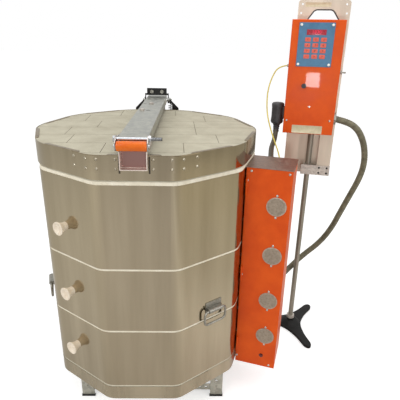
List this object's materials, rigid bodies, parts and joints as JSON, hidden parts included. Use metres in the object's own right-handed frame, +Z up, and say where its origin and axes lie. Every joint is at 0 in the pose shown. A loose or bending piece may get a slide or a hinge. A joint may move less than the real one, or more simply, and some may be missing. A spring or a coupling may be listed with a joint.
{
  "type": "pottery kiln",
  "caption": "Ten-sided top-loading electric pottery kiln with a sprung hinged lid, peephole plugs, a hinged element box and a control head on a floor stand.",
  "frame": {"origin": "on the floor, on the vertical axis of the firing chamber", "axes": "+Z up; the lid opens from the front at -Y and is hinged at +Y; +X towards the element box and the control stand"},
  "size_m": [1.293, 0.8755, 1.47],
  "materials": {
    "galvanised": "dull zinc coating",
    "black_rubber": "matte",
    "firebrick": "soft porous brick, pale cream",
    "stainless": "bright rolled sheet",
    "element_wire": "dark oxide",
    "porcelain": "unglazed",
    "brass": "machined",
    "plug_ceramic": "unglazed",
    "zinc": "bright zinc",
    "polished_steel": "polished",
    "orange_plastic": "glossy",
    "black_paint": "semi-gloss black",
    "orange_paint": "semi-gloss orange",
    "vent_mesh": "fine mesh",
    "red_lens": "dark red lens",
    "keypad_film": "printed film",
    "black_plastic": "satin black",
    "circuit_board": "laminate",
    "conduit_sheath": "olive grey sheath",
    "yellow_wire": "braided yellow"
  },
  "bodies": {
    "kiln": {"stand_legs": "galvanised", "foot_shoes": "black_rubber", "stand_frame": "galvanised", "floor_slab": "firebrick", "floor_band": "stainless", "ring_1_bricks": "firebrick", "ring_2_bricks": "firebrick", "ring_3_bricks": "firebrick", "ring_1_jacket": "stainless", "ring_2_jacket": "stainless", "ring_3_jacket": "stainless", "heating_elements": "element_wire", "element_bushes": "porcelain", "element_connectors": "brass", "thermocouple_probe": "porcelain", "hinge_tower": "black_paint", "tower_bolts": "zinc", "hinge_axle": "zinc", "hinge_springs": "zinc", "handle_plates": "galvanised", "box_back": "orange_paint", "box_top_plate": "galvanised", "box_hinge_pins": "zinc", "pole": "polished_steel", "pole_base": "black_paint", "pole_clamps": "galvanised", "control_back_plate": "polished_steel", "control_case": "orange_paint", "keypad_overlay": "keypad_film", "case_screws": "zinc", "fuse_holder": "black_plastic", "toggle_switch": "zinc", "case_electronics": "circuit_board", "power_connector": "black_plastic", "cord_fittings": "zinc", "conduit": "conduit_sheath", "power_cable": "black_rubber", "thermocouple_wire": "yellow_wire"},
    "lid": {"lid_slab": "firebrick", "lid_band": "stainless", "lid_strap": "stainless", "lid_screws": "zinc", "lid_bar": "galvanised", "lid_bracket": "polished_steel", "lid_rear_bracket": "polished_steel", "grip_cheeks": "polished_steel", "lid_grip": "orange_plastic", "lid_front_rods": "polished_steel", "bar_bolts": "zinc"},
    "top_peephole_plug": {"peephole_plug_1": "plug_ceramic"},
    "middle_peephole_plug": {"peephole_plug_2": "plug_ceramic"},
    "lower_peephole_plug": {"peephole_plug_3": "plug_ceramic"},
    "left_bail": {"handle_bail_left": "zinc"},
    "right_bail": {"handle_bail_right": "zinc"},
    "element_cover": {"box_cover": "orange_paint", "vent_discs": "vent_mesh", "pilot_lamp": "red_lens"},
    "fuse_cap_body": {"fuse_cap": "black_plastic"},
    "toggle_body": {"toggle_lever": "zinc"}
  },
  "joints": [
    {"name": "lid_hinge", "type": "hinge", "parent": "kiln", "child": "lid", "pos_m": [0, 0.4, 1.07], "axis": [-1, 0, 0], "range_deg": [0, 75], "deforming": ["hinge_springs"]},
    {"name": "top_plug_slide", "type": "slide", "parent": "kiln", "child": "top_peephole_plug", "axis": [-0.5878, -0.809, 0], "range_m": [0, 0.14]},
    {"name": "middle_plug_slide", "type": "slide", "parent": "kiln", "child": "middle_peephole_plug", "axis": [-0.5878, -0.809, 0], "range_m": [0, 0.14]},
    {"name": "lower_plug_slide", "type": "slide", "parent": "kiln", "child": "lower_peephole_plug", "axis": [-0.5878, -0.809, 0], "range_m": [0, 0.14]},
    {"name": "left_bail_hinge", "type": "hinge", "parent": "kiln", "child": "left_bail", "pos_m": [-0.36473, -0.11851, 0.478], "axis": [-0.309, 0.9511, 0], "range_deg": [0, 90]},
    {"name": "right_bail_hinge", "type": "hinge", "parent": "kiln", "child": "right_bail", "pos_m": [0.24321, -0.29733, 0.478], "axis": [-0.809, -0.5878, 0], "range_deg": [0, 90]},
    {"name": "element_cover_hinge", "type": "hinge", "parent": "kiln", "child": "element_cover", "pos_m": [0.33939, -0.17547, 0.545], "axis": [0, 0, -1], "range_deg": [0, 85]},
    {"name": "fuse_cap_turn", "type": "hinge", "parent": "kiln", "child": "fuse_cap_body", "pos_m": [0.58344, 0.17031, 1.165], "axis": [-0.225, -0.9744, 0], "range_deg": [0, 90]},
    {"name": "toggle_tilt", "type": "hinge", "parent": "kiln", "child": "toggle_body", "pos_m": [0.72064, 0.17558, 1.216], "axis": [-0.225, -0.9744, 0], "range_deg": [-12, 12]}
  ]
}
